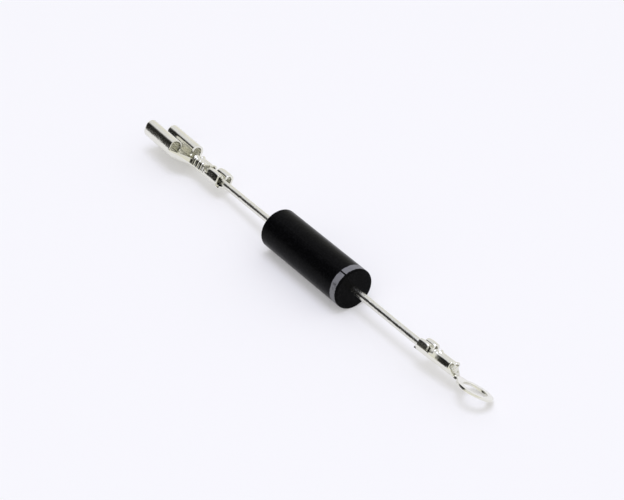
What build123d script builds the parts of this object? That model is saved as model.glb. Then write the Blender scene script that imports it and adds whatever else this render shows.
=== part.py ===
# High voltage diode with a tab receptacle on one lead and a ring terminal on the other.
# Millimetres. X runs along the body from the anode (-X) to the cathode (+X), +Z is up.
# The origin is the middle of the moulded body, on its axis. The diode lies on its side, so the
# surface under it is half a body diameter below the origin.
from build123d import *
import math
import os

os.makedirs("parts", exist_ok=True)

# Moulded body and its printed band
body_diameter = 7.5
body_length = 22.0
body_edge_radius = 0.3
band_width = 1.4
band_thickness = 0.06
band_edge_setback = 0.05
band_gap_width = 0.28
band_gap_angle = 23.6

# Leads
wire_diameter = 1.3
head_diameter = 2.2
head_thickness = 0.5
anode_lead_reach = 18.77
anode_lead_straight = 2.0
anode_lead_side_set = 0.69
anode_lead_drop = 0.83
cathode_lead_reach = 18.1
lead_bend_radius = 12.0
bend_to_terminal = 2.0
wire_end_length = 0.7
wire_end_chamfer = 0.15

# Stack of junctions between the lead heads
chip_count = 12
chip_side = 1.5
chip_thickness = 0.28
foil_thickness = 0.05
coating_diameter = 3.8
coating_flat_share = 0.5

# Crimp barrels
barrel_length = 3.9
receptacle_barrel_spread = 1.5
ring_barrel_spread = 1.3
barrel_wall_height = 0.15
barrel_seam = 0.06
floor_gap = 0.02
groove_count = 3
groove_width = 0.35
groove_depth = 0.05
groove_pitch = 1.0

# Grips behind the barrels
receptacle_grip_length = 3.0
ring_grip_length = 2.1
grip_corner_radius = 0.9
grip_tip_half_gap = 0.3
web_length = 1.3
web_wall_height = 1.1
web_flare = 0.25
ear_roll_share = 0.8
stub_length = 0.6
stub_width = 1.7

# Tab receptacle, for a 6.3 mm by 0.8 mm tab
receptacle_sheet = 0.4
receptacle_roll = 30.0
receptacle_near_ear = 1.35
receptacle_far_ear = 1.7
receptacle_neck_length = 3.75
tab_width = 6.3
tab_thickness = 0.8
tab_side_clearance = 0.25
tab_grip_preload = 0.1
curl_length = 9.0
curl_width = 2.5
curl_height = 3.3
curl_flat = 0.1
floor_corner_radius = 0.6
head_side_set = 0.4
head_drop = 0.3
head_turn = 3.0
dimple_radius = 1.6
dimple_height = 0.35

# Ring terminal, for a 4 mm screw
ring_sheet = 0.4
ring_roll = 34.0
ring_bend = 5.5
ring_near_ear = 1.2
ring_far_ear = 1.45
screw_diameter = 4.0
screw_clearance = 0.3
ring_diameter = 6.4
ring_neck_length = 1.95
ring_neck_width = 2.1
ring_neck_corner_radius = 0.45
ring_neck_wall_height = 0.8
ring_neck_fillet = 1.0
ring_neck_flare = 1.0
ring_side_set = 0.53

# Worked out from the sizes above
body_radius = body_diameter / 2
wire_radius = wire_diameter / 2
head_radius = head_diameter / 2
floor_level = -wire_radius - floor_gap
stack_length = chip_count * chip_thickness + (chip_count + 1) * foil_thickness


def let_in(points, sheet):
    """The points moved to the left of their run by the sheet, mitred at the corners."""
    runs = [(Vector(*b) - Vector(*a)).normalized() for a, b in zip(points, points[1:])]
    sides = [Vector(-run.Y, run.X) for run in runs]
    before = [sides[0]] + sides
    after = sides + [sides[-1]]
    return [Vector(*point) + (a + b) * (sheet / (1 + a.dot(b)))
            for point, a, b in zip(points, before, after)]


def strip(points, radii, sheet):
    """A face on Plane.YZ: bent sheet whose outer skin follows the points, with rounded corners."""
    inner = let_in(points, sheet)
    skin = FilletPolyline(*points, radius=radii)
    lining = FilletPolyline(*inner, radius=[radius - sheet for radius in radii])
    ends = [Line(points[0], inner[0]), Line(points[-1], inner[-1])]
    return Plane.YZ * make_face([skin, lining] + ends)


def channel(half_width, wall_top, corner_radius, sheet):
    """A face on Plane.YZ: an open channel whose floor lies under the wire."""
    base = floor_level - sheet
    points = [(-half_width, wall_top), (-half_width, base), (half_width, base), (half_width, wall_top)]
    return strip(points, [corner_radius, corner_radius], sheet)


def along(face, start, length):
    """The face carried to a place along the terminal and given its length."""
    return extrude(Pos(start, 0, 0) * face, amount=length, dir=(1, 0, 0))


class Barrel:
    """The rolled conductor barrel's section, and the squeezed wire that fills it."""

    def __init__(self, sheet, spread):
        self.sheet = sheet
        self.inner = wire_radius * spread
        self.outer = self.inner + sheet
        self.centre = self.inner + floor_level
        self.wall_top = self.centre + barrel_wall_height
        self.tip_skin = barrel_seam / 2
        self.tip = self.tip_skin + sheet
        self.lobe = (self.inner - self.tip) / 2
        wire_area = math.pi * wire_radius**2
        open_area = math.pi * self.inner**2 / 2 + 2 * self.inner * barrel_wall_height
        open_area += math.pi * self.lobe**2
        self.tip_end = self.wall_top - (open_area - wire_area) / (2 * self.tip)

    def half(self, side_x, tip_x, bottom_radius, lobe_radius):
        """One side's skin, from the bottom of the barrel round to the tip of the rolled edge."""
        lobe_x = self.inner - self.lobe
        bottom = CenterArc((0, self.centre), bottom_radius, -90, 90)
        wall = Line((side_x, self.centre), (side_x, self.wall_top))
        over = CenterArc((lobe_x, self.wall_top), lobe_radius, 0, 180)
        down = Line((tip_x, self.wall_top), (tip_x, self.tip_end))
        return [bottom, wall, over, down]

    def face(self, grow=0.0):
        """The sheet's section, its outside let in by a negative grow."""
        outside = self.half(self.outer + grow, self.tip_skin - grow, self.outer + grow,
                            self.lobe + self.sheet + grow)
        inside = self.half(self.inner, self.tip, self.inner, self.lobe)
        base = floor_level
        ends = [Line((0, base), (0, base - self.sheet - grow)),
                Line((self.tip_skin - grow, self.tip_end), (self.tip, self.tip_end))]
        right = make_face(outside + inside + ends)
        return Plane.YZ * (right + mirror(right, about=Plane.YZ))

    def wire_face(self):
        """The squeezed wire's section: it fills the barrel under the rolled edges."""
        inside = self.half(self.inner, self.tip, self.inner, self.lobe)
        ends = [Line((0, floor_level), (0, self.tip_end)),
                Line((0, self.tip_end), (self.tip, self.tip_end))]
        right = make_face(inside + ends)
        return Plane.YZ * (right + mirror(right, about=Plane.YZ))


def grip(length, sheet, right_ear, left_ear):
    """Two ears rolled in over the wire, their tips resting on it. Each ear is given by its top."""
    base = floor_level - sheet
    tip_end = math.sqrt(wire_radius**2 - grip_tip_half_gap**2)
    points = []
    radii = []
    for side, top in ((-1, left_ear), (1, right_ear)):
        roll = (top - tip_end) * ear_roll_share
        half_width = grip_tip_half_gap + 2 * roll + curl_flat
        ear = [(side * grip_tip_half_gap, tip_end), (side * grip_tip_half_gap, top),
               (side * half_width, top), (side * half_width, base)]
        bends = [roll, roll, grip_corner_radius]
        points += ear if side < 0 else ear[::-1]
        radii += bends if side < 0 else bends[::-1]
    return along(strip(points, radii, sheet), 0, length)


def crimp(barrel, grip_length, right_ear, left_ear):
    """Grip, web, conductor barrel and the sheared stub, as one run of sheet along +X."""
    sheet = barrel.sheet
    base = floor_level - sheet
    barrel_start = grip_length + web_length
    web_start = channel(barrel.outer + web_flare, base + web_wall_height, grip_corner_radius, sheet)
    web_end = channel(barrel.outer, base + web_wall_height, grip_corner_radius, sheet)
    web = loft([Pos(grip_length, 0, 0) * web_start, Pos(barrel_start, 0, 0) * web_end], ruled=True)
    tube = along(barrel.face(), barrel_start, barrel_length)
    first = barrel_start + (barrel_length - (groove_count - 1) * groove_pitch - groove_width) / 2
    for number in range(groove_count):
        start = first + number * groove_pitch
        tube -= along(barrel.face() - barrel.face(-groove_depth), start, groove_width)
    stub = Pos(-stub_length / 2, 0, base + sheet / 2) * Box(stub_length, stub_width, sheet)
    return grip(grip_length, sheet, right_ear, left_ear) + web + tube + stub


def receptacle_barrel():
    return Barrel(receptacle_sheet, receptacle_barrel_spread)


def ring_barrel():
    return Barrel(ring_sheet, ring_barrel_spread)


def receptacle_half_width():
    return tab_width / 2 + tab_side_clearance + receptacle_sheet


def receptacle_head():
    """The open box that takes the tab: a floor with both sides rolled in over it, along +X."""
    sheet = receptacle_sheet
    half_width = receptacle_half_width()
    base = floor_level - sheet
    top = base + curl_height
    tip_x = half_width - curl_width
    tip_end = floor_level + tab_thickness - tab_grip_preload
    roll = (curl_width - curl_flat) / 2
    right = [(tip_x, tip_end), (tip_x, top), (half_width, top), (half_width, base)]
    left = [(-y, z) for y, z in right]
    radii = [roll, roll, floor_corner_radius]
    head = along(strip(left + right[::-1], radii + radii[::-1], sheet), 0, curl_length)
    ball_centre = Pos(curl_length / 2, 0, floor_level + dimple_height - dimple_radius)
    above_floor = Pos(curl_length / 2, 0, floor_level + dimple_radius) * Box(
        2 * dimple_radius, 2 * dimple_radius, 2 * dimple_radius)
    head += ball_centre * Sphere(dimple_radius) & above_floor
    head -= ball_centre * Sphere(dimple_radius - sheet)
    return head


def tab_receptacle():
    sheet = receptacle_sheet
    barrel = receptacle_barrel()
    barrel_end = receptacle_grip_length + web_length + barrel_length
    head_place = Pos(barrel_end + receptacle_neck_length, head_side_set, -head_drop) * Rot(0, 0, -head_turn)
    neck_start = Pos(barrel_end, 0, 0) * channel(barrel.outer, barrel.centre, grip_corner_radius, sheet)
    neck_end = head_place * channel(receptacle_half_width(), barrel.centre, floor_corner_radius, sheet)
    neck = loft([neck_start, neck_end], ruled=True)
    rear = crimp(barrel, receptacle_grip_length, receptacle_near_ear, receptacle_far_ear)
    return rear + neck + head_place * receptacle_head()


def ring_hole_radius():
    return (screw_diameter + screw_clearance) / 2


def ring_barrel_end():
    return ring_grip_length + web_length + barrel_length


def ring_centre_distance():
    return ring_barrel_end() + ring_neck_length + ring_diameter / 2


def ring_blank(tongue_start):
    """The flat outline of the tongue and the ring, without its hole."""
    centre = ring_centre_distance()
    half_width = ring_neck_width / 2
    with BuildSketch() as outline:
        with BuildLine():
            Polyline((tongue_start, -half_width), (centre, ring_side_set - half_width),
                     (centre, ring_side_set + half_width), (tongue_start, half_width), close=True)
        make_face()
        with Locations((centre, ring_side_set)):
            Circle(ring_diameter / 2)
        inner_corners = outline.vertices().filter_by(
            lambda v: tongue_start + ring_sheet < v.X < centre)
        fillet(inner_corners, ring_neck_fillet)
    return outline.sketch


def ring_terminal():
    """The crimp, a neck that opens out flat, and the ring at its end."""
    sheet = ring_sheet
    base = floor_level - sheet
    barrel = ring_barrel()
    barrel_end = ring_barrel_end()
    tongue_start = barrel_end + ring_neck_flare
    tongue = extrude(Pos(0, 0, base) * ring_blank(tongue_start), amount=sheet)
    neck_start = channel(barrel.outer, barrel.centre, grip_corner_radius, sheet)
    neck_end = channel(ring_neck_width / 2, base + ring_neck_wall_height, ring_neck_corner_radius, sheet)
    neck = loft([Pos(barrel_end, 0, 0) * neck_start, Pos(tongue_start, 0, 0) * neck_end], ruled=True)
    slope = Polyline((barrel_end, barrel.centre), (tongue_start, base + sheet),
                     (tongue_start, barrel.centre), close=True)
    neck -= extrude(make_face(Plane.XZ * slope), amount=barrel.outer, both=True)
    hole = Pos(ring_centre_distance(), ring_side_set, base) * Cylinder(ring_hole_radius(), 3 * sheet)
    return crimp(barrel, ring_grip_length, ring_far_ear, ring_near_ear) + neck + tongue - hole


def terminal_place(side, reach, roll, bend, side_set=0.0, drop=0.0):
    """The frame of a terminal: origin at the rear of its grip on the wire, X outward, Z to its open side."""
    tilt = math.radians(roll)
    turn = math.radians(bend)
    across = Vector(0, math.cos(tilt), -math.sin(tilt))
    outward = Vector(side * math.cos(turn), 0, 0) + across * math.sin(turn)
    corner = Vector(side * (body_length / 2 + reach - bend_to_terminal), side_set, -drop)
    origin = corner + outward * bend_to_terminal
    return Plane(origin=origin, x_dir=outward, z_dir=(0, math.sin(tilt), math.cos(tilt)))


def anode_place():
    return terminal_place(-1, anode_lead_reach, receptacle_roll, 0.0, anode_lead_side_set, anode_lead_drop)


def cathode_place():
    return terminal_place(1, cathode_lead_reach, ring_roll, ring_bend)


def lead(side, place, grip_length, barrel, first_corners=()):
    """A wire with a nail head inside the body, slight bends, and a squeezed end in its barrel."""
    start = side * (stack_length / 2 + head_thickness)
    barrel_start = grip_length + web_length
    barrel_end = barrel_start + barrel_length
    barrel_mouth = place.origin + place.x_dir * barrel_start
    last_corner = place.origin - place.x_dir * bend_to_terminal
    path = FilletPolyline((start, 0, 0), *first_corners, last_corner, barrel_mouth, radius=lead_bend_radius)
    section = Plane(origin=(start, 0, 0), z_dir=(side, 0, 0)) * Circle(wire_radius)
    wire = sweep(section, path=path)
    head_middle = side * (stack_length + head_thickness) / 2
    head = Pos(head_middle, 0, 0) * Rot(0, 90, 0) * Cylinder(head_radius, head_thickness)
    squeezed = along(barrel.wire_face(), barrel_start, barrel_length)
    end = Pos(barrel_end + wire_end_length / 2, 0, 0) * Rot(0, 90, 0) * Cylinder(wire_radius, wire_end_length)
    end = chamfer(end.edges().group_by(Axis.X)[-1], wire_end_chamfer)
    return head + wire + place.location * (squeezed + end)


def junction_stack():
    """Chips and the foil between them, sawn square as one stick, from the anode head to the cathode head."""
    section = Plane.YZ * Rectangle(chip_side, chip_side)
    pieces = {}
    x = -stack_length / 2
    for number in range(1, chip_count + 2):
        pieces[f"braze_foil_{number:02d}"] = along(section, x, foil_thickness)
        x += foil_thickness
        if number <= chip_count:
            pieces[f"junction_chip_{number:02d}"] = along(section, x, chip_thickness)
            x += chip_thickness
    return pieces


def coating_blank():
    """The soft coating's outer form, a bead that slopes down to the two lead heads."""
    end = stack_length / 2
    flat_end = end * coating_flat_share
    outline = Polyline((-end, 0), (-end, head_radius), (-flat_end, coating_diameter / 2),
                       (flat_end, coating_diameter / 2), (end, head_radius), (end, 0), close=True)
    return revolve(make_face(outline), axis=Axis.X)


def body_blank():
    blank = Rot(0, 90, 0) * Cylinder(body_radius, body_length)
    return fillet(blank.edges(), body_edge_radius)


def cathode_band():
    """A thin printed band let in flush at the cathode end, open at one place."""
    end = body_length / 2 - body_edge_radius - band_edge_setback
    middle = Pos(end - band_width / 2, 0, 0)
    ring = middle * Rot(0, 90, 0) * (
        Cylinder(body_radius, band_width) - Cylinder(body_radius - band_thickness, band_width))
    gap = Rot(band_gap_angle, 0, 0) * Pos(end - band_width / 2, 0, body_radius) * Box(
        2 * band_width, band_gap_width, body_radius)
    return ring - gap


def build():
    pieces = junction_stack()
    coating = coating_blank()
    sag_start = (-body_length / 2 - anode_lead_straight, 0, 0)
    anode_lead = lead(-1, anode_place(), receptacle_grip_length, receptacle_barrel(), [sag_start])
    cathode_lead = lead(1, cathode_place(), ring_grip_length, ring_barrel())
    band = cathode_band()
    body = body_blank() - coating - anode_lead - cathode_lead - band
    stick = along(Plane.YZ * Rectangle(chip_side, chip_side), -stack_length / 2, stack_length)
    pieces["junction_coating"] = coating - stick
    pieces["anode_lead"] = anode_lead
    pieces["cathode_lead"] = cathode_lead
    pieces["cathode_band"] = band
    pieces["body_moulding"] = body
    pieces["tab_receptacle"] = anode_place().location * tab_receptacle()
    pieces["ring_terminal"] = cathode_place().location * ring_terminal()
    return pieces


for name, piece in build().items():
    export_step(piece, f"parts/{name}.step")
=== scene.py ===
import math

import bpy
from mathutils import Matrix, Vector


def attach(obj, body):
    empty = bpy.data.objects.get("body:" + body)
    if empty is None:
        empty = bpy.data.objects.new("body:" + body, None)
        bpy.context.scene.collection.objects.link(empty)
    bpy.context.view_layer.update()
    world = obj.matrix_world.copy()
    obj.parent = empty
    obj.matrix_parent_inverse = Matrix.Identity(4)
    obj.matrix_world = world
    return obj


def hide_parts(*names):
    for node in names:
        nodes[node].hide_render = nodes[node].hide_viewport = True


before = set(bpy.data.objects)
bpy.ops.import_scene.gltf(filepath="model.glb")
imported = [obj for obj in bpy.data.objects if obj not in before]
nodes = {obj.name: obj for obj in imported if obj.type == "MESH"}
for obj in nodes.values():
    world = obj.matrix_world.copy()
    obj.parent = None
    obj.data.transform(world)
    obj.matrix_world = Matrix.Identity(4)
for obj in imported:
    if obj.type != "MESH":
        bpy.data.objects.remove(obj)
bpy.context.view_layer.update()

MM = 0.001

# Body, band, wire and sheet, in millimetres
body_radius = 3.75
band_middle = 9.95
band_half_width = 0.7
band_ragged_width = 0.45
parting_angle = 23.6
parting_half_widths = (0.03, 0.1)
wire_radius = 0.65
sheet = 0.4
floor_level = -0.67
base = floor_level - sheet
tip_half_gap = 0.3
ear_roll_share = 0.8
curl_flat = 0.1
web_length = 1.3
web_wall = 1.1
web_flare = 0.25
barrel_length = 3.9
barrel_wall_height = 0.15
barrel_seam = 0.06
stub_length = 0.6
bend_to_terminal = 2.0
smallest_wall = 0.001
cut_edge_radius = 0.045
cut_edge_segments = 2
cut_edge_angle = 50.0
smooth_angle = 40.0
weld_distance = 0.002

# Where the sections change along a terminal, in millimetres from a zone's end
grip_flare_length = 0.6
grip_wall_delay = 0.4
barrel_lead_in = 0.7
neck_lead_in = 0.1
grip_arch = 0.12

# Flared mouths of the conductor barrels
mouth_length = 0.6
mouth_width = 0.1
mouth_rise = 0.22
mouth_tip_rise = 0.12

# Columns and rows of the blanks
floor_columns = 12
ear_columns = 20
stub_columns = 5
stub_rows = 5
grip_rows = 24
web_rows = 12
barrel_rows = 44
receptacle_neck_rows = 26
head_rows = 40
ring_neck_rows = 20

# Tab receptacle, on the anode lead
receptacle_origin = (-29.77, 0.69, -0.83)
receptacle_roll = 30.0
receptacle_grip = 3.0
receptacle_near_ear = 1.35
receptacle_far_ear = 1.7
receptacle_spread = 1.5
receptacle_corners = (0.9, 0.55)
receptacle_neck = 3.75
head_length = 9.0
head_half_width = 3.8
head_height = 3.3
curl_width = 2.5
curl_tip_height = 0.7
head_corner = 1.5
head_side_set = 0.4
head_drop = 0.3
head_turn = 3.0
groove_first = 0.95
groove_pitch = 1.0
groove_count = 3
groove_width = 0.36
groove_depth = 0.08
groove_fade = (6, 10)

# Ring terminal, on the cathode lead
ring_corner_x = 27.1
ring_roll = 34.0
ring_bend = 5.5
ring_grip = 2.1
ring_near_ear = 1.2
ring_far_ear = 1.45
ring_spread = 1.3
ring_corners = (1.1, 1.0)
ring_neck = 1.95
ring_neck_half_width = 1.05
ring_neck_fillet = 1.0
ring_radius = 3.2
ring_hole_radius = 2.15
ring_side_set = 0.53
ring_slant_lead_in = 0.3
ring_neck_overlap = 0.1
press_setback = 0.3
press_half_length = 1.9
press_columns = 10
press_depth = 0.16

# Colours of the materials, each from its dark or dull end to its light one
epoxy_dark = (0.0005, 0.0005, 0.0007, 1)
epoxy_light = (0.006, 0.006, 0.0065, 1)
tin_dull = (0.76, 0.755, 0.68, 1)
tin_bright = (0.87, 0.865, 0.79, 1)
wire_dull = (0.72, 0.715, 0.65, 1)
wire_bright = (0.86, 0.855, 0.79, 1)
ink_worn = (0.003, 0.003, 0.0034, 1)
ink_full = (0.2, 0.2, 0.21, 1)
silicone_dark = (0.62, 0.6, 0.55, 1)
silicone_light = (0.7, 0.68, 0.63, 1)
silicon_dark = (0.1, 0.1, 0.12, 1)
silicon_light = (0.16, 0.165, 0.19, 1)
braze_dull = (0.6, 0.6, 0.62, 1)
braze_bright = (0.72, 0.73, 0.75, 1)

# Camera, placed where the photograph was taken from
camera_place = (227.87, -162.03, 198.34)
camera_forward = (-0.6676, 0.4726, -0.5753)
camera_up = (-0.4695, 0.3324, 0.8179)
camera_lens = 117.0
sensor_width = 36.0
clip_start = 0.01
clip_end = 50.0

# Room
seen_ways = ("Is Camera Ray", "Is Glossy Ray", "Is Transmission Ray")
floor_half_size = 2000.0
floor_colour = (0.965, 0.96, 0.945)
paper_colour = (0.955, 0.945, 0.97)
paper_share = 0.27
high_sky_colour = (0.96, 0.96, 1.02)
low_sky_colour = (1.02, 1.0, 0.9)
sky_spread = (0.1, 0.75)
sky_strength = 0.86
dark_side = (-0.67, -0.62, 0.40)
dark_side_spread = (0.80, 0.94)
dark_side_strength = 0.98
key_height = 600.0
key_size = 280.0
key_power = 0.95
key_colour = (0.88, 0.9, 1.16)


class Value:
    """A node's output that can be used in Python sums."""

    def __init__(self, tree, socket):
        self.tree = tree
        self.socket = socket

    def _maths(self, operation, other, flipped=False):
        terms = (other, self) if flipped else (self, other)
        return self.tree.node("ShaderNodeMath", {"operation": operation},
                              dict(enumerate(terms)))

    def __add__(self, other):
        return self._maths("ADD", other)

    def __radd__(self, other):
        return self._maths("ADD", other, True)

    def __sub__(self, other):
        return self._maths("SUBTRACT", other)

    def __rsub__(self, other):
        return self._maths("SUBTRACT", other, True)

    def __mul__(self, other):
        return self._maths("MULTIPLY", other)

    def __rmul__(self, other):
        return self._maths("MULTIPLY", other, True)

    def __truediv__(self, other):
        return self._maths("DIVIDE", other)

    def smooth(self, low, high):
        """0 below low, 1 above high and smooth between."""
        return self.tree.node("ShaderNodeMapRange", {"interpolation_type": "SMOOTHSTEP"},
                              {"Value": self, "From Min": low, "From Max": high})


class Tree:
    """A material's or the world's nodes."""

    def __init__(self, owner):
        owner.use_nodes = True
        self.nodes = owner.node_tree.nodes
        self.links = owner.node_tree.links
        self.nodes.clear()

    def node(self, kind, settings=None, inputs=None, output=0):
        """A new node with its settings and inputs, as the value of one of its outputs."""
        made = self.nodes.new(kind)
        for name, value in (settings or {}).items():
            setattr(made, name, value)
        for name, value in (inputs or {}).items():
            socket = made.inputs[name]
            if isinstance(value, Value):
                self.links.new(value.socket, socket)
            else:
                socket.default_value = value
        return Value(self, made.outputs[output]) if output is not None else None

    def place(self):
        """The point on the object, in metres."""
        return self.node("ShaderNodeTexCoord", output="Object")

    def noise(self, scale, detail=3.0, roughness=0.5, stretch=(1.0, 1.0, 1.0)):
        """Soft noise over the object, from 0 to 1."""
        where = self.node("ShaderNodeMapping", None, {"Vector": self.place(), "Scale": stretch})
        return self.node("ShaderNodeTexNoise", None,
                         {"Vector": where, "Scale": scale,
                          "Detail": detail, "Roughness": roughness})

    def mix(self, factor, first, second):
        """A colour between two colours."""
        return self.node("ShaderNodeMix", {"data_type": "RGBA"},
                         {0: factor, 6: first, 7: second}, output=2)

    def magnitude(self, value):
        """A value without its sign."""
        return self.node("ShaderNodeMath", {"operation": "ABSOLUTE"}, {0: value})

    def seen(self):
        """1 for what the camera sees, also in a reflection, and 0 for light that spreads."""
        path = self.nodes.new("ShaderNodeLightPath")
        ways = [Value(self, path.outputs[name]) for name in seen_ways]
        return ways[0] + ways[1] + ways[2]

    def bump(self, height, strength, distance):
        """A surface direction that follows small relief."""
        return self.node("ShaderNodeBump", None,
                         {"Height": height, "Strength": strength, "Distance": distance})


def surface(name, make):
    """A material whose principled shader gets its sockets from make(tree)."""
    material = bpy.data.materials.new(name)
    tree = Tree(material)
    shader = tree.node("ShaderNodeBsdfPrincipled", None, make(tree), output="BSDF")
    tree.node("ShaderNodeOutputMaterial", None, {"Surface": shader}, output=None)
    return material


def black_epoxy(tree):
    """Moulded epoxy: near black and satin, with a fine grain and the mould's parting line."""
    grain = tree.noise(scale=3600.0, detail=4.0, roughness=0.65)
    cloud = tree.noise(scale=330.0, detail=3.0, roughness=0.55)
    turn = -math.radians(parting_angle)
    across = tree.node("ShaderNodeMapping", None,
                       {"Vector": tree.place(), "Rotation": (turn, 0, 0)})
    beside = tree.node("ShaderNodeSeparateXYZ", None, {"Vector": across}, output="Y")
    narrow, wide = parting_half_widths
    parting = 1 - tree.magnitude(beside).smooth(narrow * MM, wide * MM)
    colour = tree.mix(grain.smooth(low=0.4, high=0.75), epoxy_dark, epoxy_light)
    relief = 0.6 * grain + 2.0 * cloud + 0.8 * parting
    return {"Base Color": colour,
            "Roughness": 0.24 + 0.14 * cloud,
            "Specular IOR Level": 0.035,
            "Sheen Weight": 0.5,
            "Sheen Roughness": 0.22,
            "Normal": tree.bump(relief, strength=0.35, distance=0.00006)}


def tin_plate(tree):
    """Bright tin over brass, with soft dents and fine pits."""
    cloud = tree.noise(scale=420.0, detail=3.0, roughness=0.55)
    pits = tree.noise(scale=3200.0, detail=2.0, roughness=0.5)
    return {"Base Color": tree.mix(cloud, tin_dull, tin_bright),
            "Metallic": 1.0,
            "Roughness": 0.08 + 0.16 * cloud,
            "Normal": tree.bump(cloud + 0.2 * pits, strength=0.5, distance=0.0001)}


def tinned_wire(tree):
    """Tinned copper wire, dimpled along its length by the rollers that straightened it."""
    dents = tree.noise(scale=1300.0, detail=3.0, roughness=0.6, stretch=(0.6, 1.0, 1.0))
    pits = tree.noise(scale=4200.0, detail=2.0, roughness=0.5)
    return {"Base Color": tree.mix(dents, wire_dull, wire_bright),
            "Metallic": 1.0,
            "Roughness": 0.14 + 0.16 * pits,
            "Normal": tree.bump(dents + 0.3 * pits, strength=0.75, distance=0.0001)}


def printed_ink(tree):
    """Pale grey ink with a ragged edge, a little worn through to the body."""
    cloud = tree.noise(scale=900.0, detail=4.0, roughness=0.65)
    ragged = tree.noise(scale=1900.0, detail=3.0, roughness=0.6)
    along = tree.node("ShaderNodeSeparateXYZ", None, {"Vector": tree.place()}, output="X")
    from_middle = tree.magnitude(along - band_middle * MM)
    inside = (band_half_width * MM - from_middle) / (band_ragged_width * MM) + ragged - 0.5
    inked = inside.smooth(low=0.02, high=0.16) * (0.35 + 0.65 * cloud.smooth(low=0.3, high=0.46))
    return {"Base Color": tree.mix(inked, ink_worn, ink_full),
            "Roughness": 0.35 + 0.2 * cloud,
            "Specular IOR Level": 0.2,
            "Normal": tree.bump(cloud, strength=0.2, distance=0.00004)}


def plain_silicone(tree):
    """Soft pale coating."""
    cloud = tree.noise(scale=700.0)
    return {"Base Color": tree.mix(cloud, silicone_dark, silicone_light),
            "Roughness": 0.6}


def cut_silicon(tree):
    """Sawn and etched chips."""
    cloud = tree.noise(scale=1500.0)
    return {"Base Color": tree.mix(cloud, silicon_dark, silicon_light),
            "Metallic": 0.6,
            "Roughness": 0.3 + 0.15 * cloud}


def braze_metal(tree):
    """Dull foil between the chips."""
    cloud = tree.noise(scale=1500.0)
    return {"Base Color": tree.mix(cloud, braze_dull, braze_bright),
            "Metallic": 1.0,
            "Roughness": 0.3 + 0.1 * cloud}


def rounded(points, radii, arc_steps=10):
    """The run of points with each inner corner rounded by its radius."""
    run = [Vector(points[0])]
    for corner, radius, before, after in zip(points[1:-1], radii, points, points[2:]):
        corner = Vector(corner)
        back = (Vector(before) - corner).normalized()
        ahead = (Vector(after) - corner).normalized()
        turn = back.angle(ahead)
        if radius < 1e-4 or abs(turn - math.pi) < 1e-4:
            run.append(corner)
            continue
        reach = radius / math.tan(turn / 2)
        centre = corner + (back + ahead).normalized() * (radius / math.sin(turn / 2))
        first = corner + back * reach - centre
        last = corner + ahead * reach - centre
        whole = first.angle_signed(last)
        for step in range(arc_steps + 1):
            angle = -whole * step / arc_steps
            swing = Matrix.Rotation(angle, 2)
            run.append(centre + swing @ first)
    run.append(Vector(points[-1]))
    return run


def spaced(run, count):
    """count points at even steps along a run."""
    lengths = [0.0]
    for a, b in zip(run, run[1:]):
        lengths.append(lengths[-1] + (b - a).length)
    points = []
    place = 0
    for number in range(count):
        goal = lengths[-1] * number / (count - 1)
        while place < len(run) - 2 and lengths[place + 1] < goal:
            place += 1
        span = lengths[place + 1] - lengths[place]
        share = (goal - lengths[place]) / span if span > 1e-9 else 0.0
        points.append(run[place].lerp(run[place + 1], min(max(share, 0.0), 1.0)))
    return points


def ease(value, low, high):
    """0 below low, 1 above high and smooth between."""
    share = min(max((value - low) / (high - low), 0.0), 1.0)
    return share * share * (3 - 2 * share)


def lerp(low, high, share):
    """The value a share of the way from low to high."""
    return low + (high - low) * share


def even(low, high, count):
    """count steps from low to high, without the last."""
    return [lerp(low, high, step / count) for step in range(count)]


def trough_run(half_width, corner, wall):
    """The skin of the floor and the foot of one side wall, from the middle outwards."""
    wall = max(wall, smallest_wall)
    return rounded([(0, base), (half_width, base), (half_width, base + wall)], [min(corner, wall)])


def ear_run(half_width, wall, top, tip, tip_end, roll):
    """The skin of a side wall that turns in at the top and down again at its tip."""
    points = [(half_width, base + wall), (half_width, top), (tip, top), (tip, tip_end)]
    return rounded(points, [roll, roll])


def grip_run(half_width, wall, top):
    """An ear of the grip, which stops short of the other one."""
    tip_end = math.sqrt(wire_radius**2 - tip_half_gap**2)
    roll = (half_width - tip_half_gap - curl_flat) / 2
    return ear_run(half_width, wall, top, tip_half_gap, tip_end, roll)


def barrel_run(half_width, wall, top, tip_end):
    """An ear of the barrel, which meets the other one at the seam."""
    roll = (half_width - barrel_seam / 2) / 2
    return ear_run(half_width, wall, top, barrel_seam / 2, tip_end, roll)


def grip_half_width(top):
    """Half the grip's width, where the roll of its ears takes a share of their height."""
    tip_end = math.sqrt(wire_radius**2 - tip_half_gap**2)
    return tip_half_gap + 2 * (top - tip_end) * ear_roll_share + curl_flat


def groove(x, first):
    """1 in the middle of each groove and 0 between them."""
    depth = 0.0
    for number in range(groove_count):
        away = abs(x - first - number * groove_pitch)
        depth = max(depth, 1 - ease(away, 0.25 * groove_width, 0.75 * groove_width))
    return depth


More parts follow.
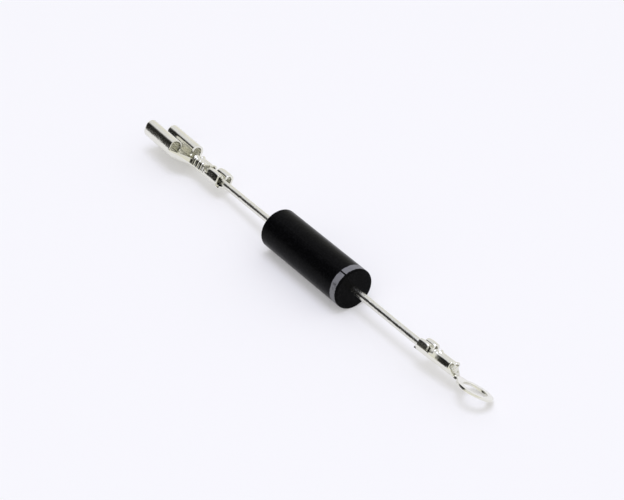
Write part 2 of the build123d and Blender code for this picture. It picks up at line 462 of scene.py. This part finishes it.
class Terminal:
    """A stamped blank that is formed round the wire.

    Rows run along the wire. Columns run from the middle of the floor to the tips of the ears.
    """

    def __init__(self, grip, near_ear, far_ear, near_side, spread, corners):
        self.near_side = near_side
        self.tops = {near_side: near_ear, -near_side: far_ear}
        self.grip_end = grip
        self.grip_corner, self.barrel_corner = corners
        self.barrel_start = grip + web_length
        self.barrel_end = self.barrel_start + barrel_length
        self.inner = wire_radius * spread
        self.outer = self.inner + sheet
        self.centre = self.inner + floor_level
        self.columns = floor_columns + ear_columns

    def barrel_tip_end(self):
        """The height of the ears' tips, where the space inside the barrel is the wire's section."""
        lobe = (self.inner - sheet - barrel_seam / 2) / 2
        open_area = math.pi * (self.inner**2 / 2 + lobe**2) + 2 * self.inner * barrel_wall_height
        tip = sheet + barrel_seam / 2
        drop = (open_area - math.pi * wire_radius**2) / (2 * tip)
        return self.centre + barrel_wall_height - drop

    def mouth(self, x):
        """1 at both ends of the barrel, which flare out, and 0 elsewhere."""
        from_end = min(abs(x - self.barrel_start), abs(x - self.barrel_end))
        return 1 - ease(from_end, 0.0, mouth_length)

    def trough(self, x, side):
        """Half width, corner radius and wall height of the floor at x."""
        grip = grip_half_width(self.tops[side])
        flare = ease(x, self.grip_end, self.grip_end + grip_flare_length)
        narrowing = ease(x, self.barrel_start - barrel_lead_in, self.barrel_start)
        rising = ease(x, self.grip_end + grip_wall_delay, self.barrel_start)
        half_width = lerp(grip, self.outer + web_flare, flare)
        half_width = lerp(half_width, self.outer, narrowing) + mouth_width * self.mouth(x)
        corner = lerp(self.grip_corner, self.barrel_corner, narrowing)
        return half_width, corner, lerp(web_wall, self.centre - base, rising)

    def ear(self, x, side, half_width, wall):
        """The skin of the ear at x, from the top of the trough's wall to its tip."""
        if x <= self.grip_end + 1e-6:
            middle = abs(x / self.grip_end - 0.5) * 2
            return grip_run(half_width, wall, self.tops[side] - grip_arch * middle**3)
        mouth = self.mouth(x)
        lobe = (self.outer - barrel_seam / 2) / 2
        top = self.centre + barrel_wall_height + lobe + mouth_rise * mouth
        return barrel_run(half_width, wall, top, self.barrel_tip_end() + mouth_tip_rise * mouth)

    def has_ears(self, x):
        in_grip = 0 < x < self.grip_end
        in_barrel = self.barrel_start < x < self.barrel_end
        return in_grip or in_barrel

    def dent(self, x, column, side):
        """How far the skin is pressed in."""
        return 0.0

    def carry(self, x, y, z):
        """A point of the section at x, in the terminal's frame."""
        return Vector((x, y, z))

    def rows(self):
        """The places of the rows along the wire."""
        return (even(-stub_length, 0, stub_rows)
                + even(0, self.grip_end, grip_rows)
                + even(self.grip_end, self.barrel_start, web_rows)
                + even(self.barrel_start, self.barrel_end, barrel_rows))

    def section(self, x, side):
        """The points of one row on one side, from the middle to the ear's tip."""
        half_width, corner, wall = self.trough(x, side)
        points = spaced(trough_run(half_width, corner, wall), floor_columns + 1)
        if self.has_ears(x - 1e-3) or self.has_ears(x + 1e-3):
            ear = self.ear(x, side, half_width, wall)
            points += spaced(ear, ear_columns + 1)[1:]
        else:
            points += [points[-1]] * ear_columns
        pressed = []
        for column, point in enumerate(points):
            along = points[min(column + 1, len(points) - 1)] - points[max(column - 1, 0)]
            inwards = Vector((-along.y, along.x))
            if inwards.length > 1e-9:
                point = point + inwards.normalized() * self.dent(x, column, side)
            pressed.append(self.carry(x, side * point.x, point.y))
        return pressed

    def keeps(self, x, column):
        """Whether the blank has metal at x and between two columns."""
        if x < 0:
            return column < stub_columns
        return column < floor_columns or self.has_ears(x)

    def blank(self, name):
        """The blank as a flat grid, cut out and formed."""
        rows = self.rows()
        last_row = len(rows) - 1
        width = 2 * self.columns
        bpy.ops.mesh.primitive_grid_add(x_subdivisions=last_row, y_subdivisions=width, size=2)
        blank = bpy.context.object
        blank.name = name
        bpy.ops.object.mode_set(mode="EDIT")
        bpy.ops.mesh.select_mode(type="FACE")
        bpy.ops.mesh.select_all(action="DESELECT")
        bpy.ops.object.mode_set(mode="OBJECT")
        for face in blank.data.polygons:
            x = lerp(0, last_row, (face.center.x + 1) / 2)
            middle = (rows[int(x)] + rows[int(x) + 1]) / 2
            column = abs(face.center.y * self.columns)
            face.select = not self.keeps(middle, int(column))
        bpy.ops.object.mode_set(mode="EDIT")
        bpy.ops.mesh.delete(type="FACE")
        bpy.ops.object.mode_set(mode="OBJECT")
        sections = {}
        for vertex in blank.data.vertices:
            row = round((vertex.co.x + 1) / 2 * last_row)
            column = round(vertex.co.y * self.columns)
            side = 1 if column >= 0 else -1
            if (row, side) not in sections:
                sections[row, side] = self.section(rows[row], side)
            vertex.co = sections[row, side][abs(column)]
        return blank


class Receptacle(Terminal):
    """The terminal that slides on a tab: its head is a floor with both sides rolled in."""

    def __init__(self):
        super().__init__(receptacle_grip, receptacle_near_ear, receptacle_far_ear, 1,
                         receptacle_spread, receptacle_corners)
        self.head_start = self.barrel_end + receptacle_neck
        self.head_end = self.head_start + head_length

    def rows(self):
        return (super().rows()
                + even(self.barrel_end, self.head_start, receptacle_neck_rows)
                + even(self.head_start, self.head_end, head_rows)
                + [self.head_end])

    def trough(self, x, side):
        half_width, corner, wall = super().trough(x, side)
        opened = ease(x, self.barrel_end - neck_lead_in, self.head_start + neck_lead_in)
        return lerp(half_width, head_half_width, opened), lerp(corner, head_corner, opened), wall

    def has_ears(self, x):
        return super().has_ears(x) or self.head_start < x < self.head_end

    def ear(self, x, side, half_width, wall):
        if x < self.head_start - 1e-6:
            return super().ear(x, side, half_width, wall)
        roll = (curl_width - curl_flat) / 2
        tip = half_width - curl_width
        tip_end = floor_level + curl_tip_height
        return ear_run(half_width, wall, base + head_height, tip, tip_end, roll)

    def dent(self, x, column, side):
        pressed = groove(x, self.barrel_start + groove_first)
        low, high = groove_fade
        share = 1 - ease(column, floor_columns + low, floor_columns + high)
        return groove_depth * pressed * share

    def carry(self, x, y, z):
        turned = ease(x, self.barrel_end, self.head_start)
        angle = -math.radians(head_turn) * turned
        ahead = max(x - self.head_start, 0.0)
        return Vector((min(x, self.head_start) + ahead * math.cos(angle) - y * math.sin(angle),
                       head_side_set * turned + ahead * math.sin(angle) + y * math.cos(angle),
                       z - head_drop * turned))


class Ring(Terminal):
    """The terminal that takes a screw: its neck flattens out into a ring."""

    rays_in_fillet = 8
    rays_in_ring = 72
    steps = 8

    def __init__(self):
        super().__init__(ring_grip, ring_near_ear, ring_far_ear, -1, ring_spread, ring_corners)
        self.centre_x = self.barrel_end + ring_neck + ring_radius
        reach = ring_radius + ring_neck_fillet
        side = ring_neck_half_width + ring_neck_fillet
        self.fillet_centre = Vector((math.sqrt(reach**2 - side**2), side))
        self.fillet_end = math.atan2(side, self.fillet_centre.x)
        self.neck_end = self.centre_x - self.fillet_centre.x - ring_neck_overlap

    def rows(self):
        neck = even(self.barrel_end, self.neck_end, ring_neck_rows)
        return super().rows() + neck + [self.neck_end]

    def trough(self, x, side):
        half_width, corner, wall = super().trough(x, side)
        opened = ease(x, self.barrel_end - neck_lead_in, self.neck_end)
        return lerp(half_width, ring_neck_half_width, opened), corner, lerp(wall, 0.0, opened)

    def dent(self, x, column, side):
        if side != self.near_side:
            return 0.0
        middle = (self.barrel_start + self.barrel_end) / 2
        along = (x - middle + press_setback) / press_half_length
        across = (column - floor_columns) / press_columns
        return press_depth * max(1 - along**2 - across**2, 0.0)**1.5

    def carry(self, x, y, z):
        slant = ring_side_set * ease(x, self.barrel_end - ring_slant_lead_in, self.neck_end)
        return Vector((x, y + slant, z))

    def ring_edge(self, angle):
        """How far the outline is from the hole's middle, at an angle from the neck's direction."""
        if angle >= self.fillet_end:
            return ring_radius
        ahead = self.fillet_centre.x * math.cos(angle) + self.fillet_centre.y * math.sin(angle)
        inside = ahead**2 - self.fillet_centre.length_squared + ring_neck_fillet**2
        return ahead - math.sqrt(max(inside, 0.0))

    def edge_points(self):
        """The outline round the hole, from the neck's right corner to its left and back across."""
        middle = Vector((self.centre_x, ring_side_set))
        neck = []
        for column in range(-floor_columns, floor_columns + 1):
            section = self.section(self.neck_end, 1 if column >= 0 else -1)
            neck.append(section[abs(column)].xy)
        corner = neck[-1] - middle
        corner_angle = math.atan2(corner.y, -corner.x)
        other = neck[0] - middle
        other_angle = math.atan2(-other.y, -other.x)
        turn = 2 * math.pi
        angles = even(corner_angle, self.fillet_end, self.rays_in_fillet)[1:]
        angles += even(self.fillet_end, turn - self.fillet_end, self.rays_in_ring)
        angles += even(turn - self.fillet_end, turn - other_angle, self.rays_in_fillet)
        edge = []
        for angle in angles:
            near = min(angle, 2 * math.pi - angle)
            reach = self.ring_edge(near)
            edge.append(middle + Vector((-math.cos(angle), math.sin(angle))) * reach)
        return neck + edge, middle

    def ring(self, name):
        """The flat ring, as a grid of rays and steps bent round the hole."""
        edge, middle = self.edge_points()
        count = len(edge)
        bpy.ops.mesh.primitive_grid_add(x_subdivisions=count, y_subdivisions=self.steps, size=2)
        ring = bpy.context.object
        ring.name = name
        for vertex in ring.data.vertices:
            ray = round((vertex.co.x + 1) / 2 * count) % count
            share = (vertex.co.y + 1) / 2
            outwards = edge[ray] - middle
            hole = middle + outwards.normalized() * ring_hole_radius
            vertex.co = (*hole.lerp(edge[ray], share), base)
        return ring


def terminal_frame(origin, roll, outward):
    """A terminal's frame as a matrix: X along the wire, Z to its open side."""
    tilt = math.radians(roll)
    up = Vector((0, math.sin(tilt), math.cos(tilt)))
    across = up.cross(outward)
    matrix = Matrix((outward, across, up)).transposed().to_4x4()
    matrix.translation = origin
    return Matrix.Scale(MM, 4) @ matrix


def receptacle_frame():
    return terminal_frame(Vector(receptacle_origin), receptacle_roll, Vector((-1, 0, 0)))


def ring_frame():
    tilt = math.radians(ring_roll)
    turn = math.radians(ring_bend)
    across = Vector((0, math.cos(tilt), -math.sin(tilt)))
    outward = Vector((math.cos(turn), 0, 0)) + across * math.sin(turn)
    origin = Vector((ring_corner_x, 0, 0)) + outward * bend_to_terminal
    return terminal_frame(origin, ring_roll, outward)


def modifier(piece, kind, **settings):
    """A modifier, applied."""
    bpy.context.view_layer.objects.active = piece
    made = piece.modifiers.new(kind.lower(), kind)
    for name, value in settings.items():
        setattr(made, name, value)
    bpy.ops.object.modifier_apply(modifier=made.name)


def only(piece):
    """This piece selected and active, and no other."""
    bpy.ops.object.select_all(action="DESELECT")
    piece.select_set(True)
    bpy.context.view_layer.objects.active = piece


def thicken(piece):
    """Sheet of one thickness, with its cut edges slightly rounded."""
    modifier(piece, "SOLIDIFY", thickness=sheet, offset=1.0)
    modifier(piece, "BEVEL", width=cut_edge_radius, segments=cut_edge_segments,
             limit_method="ANGLE", angle_limit=math.radians(cut_edge_angle))


def merge(piece):
    """Points in the same place made one."""
    only(piece)
    bpy.ops.object.mode_set(mode="EDIT")
    bpy.ops.mesh.select_all(action="SELECT")
    bpy.ops.mesh.remove_doubles(threshold=weld_distance)
    bpy.ops.object.mode_set(mode="OBJECT")


def place_piece(piece, frame_matrix, node):
    """The piece put where its node is, and shown in its stead."""
    piece.data.transform(frame_matrix)
    only(piece)
    bpy.ops.object.shade_smooth_by_angle(angle=math.radians(smooth_angle))
    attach(piece, "root")
    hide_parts(node)


def make_receptacle():
    receptacle = Receptacle().blank("receptacle")
    merge(receptacle)
    thicken(receptacle)
    place_piece(receptacle, receptacle_frame(), "tab_receptacle")
    return receptacle


def make_ring():
    maker = Ring()
    strip = maker.blank("ring_tag")
    ring = maker.ring("ring_eye")
    only(strip)
    ring.select_set(True)
    bpy.ops.object.join()
    merge(strip)
    thicken(strip)
    place_piece(strip, ring_frame(), "ring_terminal")
    return strip


def dress(names, material):
    """One material on each of the named nodes."""
    for name in names:
        slots = nodes[name].data.materials
        slots.clear()
        slots.append(material)


def dress_frame():
    """Materials on every piece, and formed sheet in place of both terminals."""
    dress(["body_moulding"], surface("black_epoxy", black_epoxy))
    dress(["cathode_band"], surface("band_print", printed_ink))
    tin = surface("tin_plate", tin_plate)
    dress(["anode_lead", "cathode_lead"], surface("tinned_wire", tinned_wire))
    for piece in (make_receptacle(), make_ring()):
        piece.data.materials.append(tin)
    dress(["junction_coating"], surface("silicone_coating", plain_silicone))
    chips = [name for name in nodes if name.startswith("junction_chip")]
    foils = [name for name in nodes if name.startswith("braze_foil")]
    dress(chips, surface("cut_silicon", cut_silicon))
    dress(foils, surface("braze_metal", braze_metal))


def make_floor():
    bpy.ops.mesh.primitive_plane_add(size=2 * floor_half_size * MM,
                                     location=(0, 0, -body_radius * MM))
    floor = bpy.context.object
    floor.name = "floor"
    bpy.ops.object.transform_apply(location=True)
    material = bpy.data.materials.new("paper_floor")
    tree = Tree(material)
    lit = tree.node("ShaderNodeBsdfDiffuse", None, {"Color": (*floor_colour, 1)})
    plain = tree.node("ShaderNodeEmission", None, {"Color": (*paper_colour, 1)})
    share = tree.seen() * paper_share
    shader = tree.node("ShaderNodeMixShader", None, {0: share, 1: lit, 2: plain})
    tree.node("ShaderNodeOutputMaterial", None, {"Surface": shader}, output=None)
    floor.data.materials.append(material)


def make_world():
    world = bpy.data.worlds.new("studio")
    bpy.context.scene.world = world
    tree = Tree(world)
    towards = tree.node("ShaderNodeTexCoord", output="Generated")
    closeness = tree.node("ShaderNodeVectorMath", {"operation": "DOT_PRODUCT"},
                          {0: towards, 1: Vector(dark_side).normalized()}, output="Value")
    dark = closeness.smooth(*dark_side_spread) * dark_side_strength
    seen = tree.node("ShaderNodeLightPath", output="Is Camera Ray")
    lit = (1 - dark) * sky_strength
    strength = seen + (1 - seen) * lit
    height = tree.node("ShaderNodeSeparateXYZ", None, {"Vector": towards}, output="Z")
    colour = tree.mix(height.smooth(*sky_spread), (*low_sky_colour, 1), (*high_sky_colour, 1))
    sky = tree.node("ShaderNodeBackground", None, {"Color": colour, "Strength": strength})
    tree.node("ShaderNodeOutputWorld", None, {"Surface": sky}, output=None)


def make_key():
    bpy.ops.object.light_add(type="AREA", location=(0, 0, key_height * MM))
    lamp = bpy.context.object
    lamp.name = "overhead_lamp"
    lamp.data.size = key_size * MM
    lamp.data.energy = key_power
    lamp.data.color = key_colour


def make_camera():
    forward = Vector(camera_forward).normalized()
    up = Vector(camera_up).normalized()
    right = forward.cross(up)
    data = bpy.data.cameras.new("camera")
    data.lens = camera_lens
    data.sensor_width = sensor_width
    data.clip_start = clip_start
    data.clip_end = clip_end
    camera = bpy.data.objects.new("camera", data)
    bpy.context.scene.collection.objects.link(camera)
    matrix = camera.matrix_world.copy()
    for row in range(3):
        matrix[row][0] = right[row]
        matrix[row][1] = up[row]
        matrix[row][2] = -forward[row]
        matrix[row][3] = camera_place[row] * MM
    camera.matrix_world = matrix
    bpy.context.scene.camera = camera


bpy.context.scene.view_settings.view_transform = "Standard"
bpy.ops.object.select_all(action="DESELECT")
make_camera()
make_floor()
make_world()
make_key()
dress_frame()
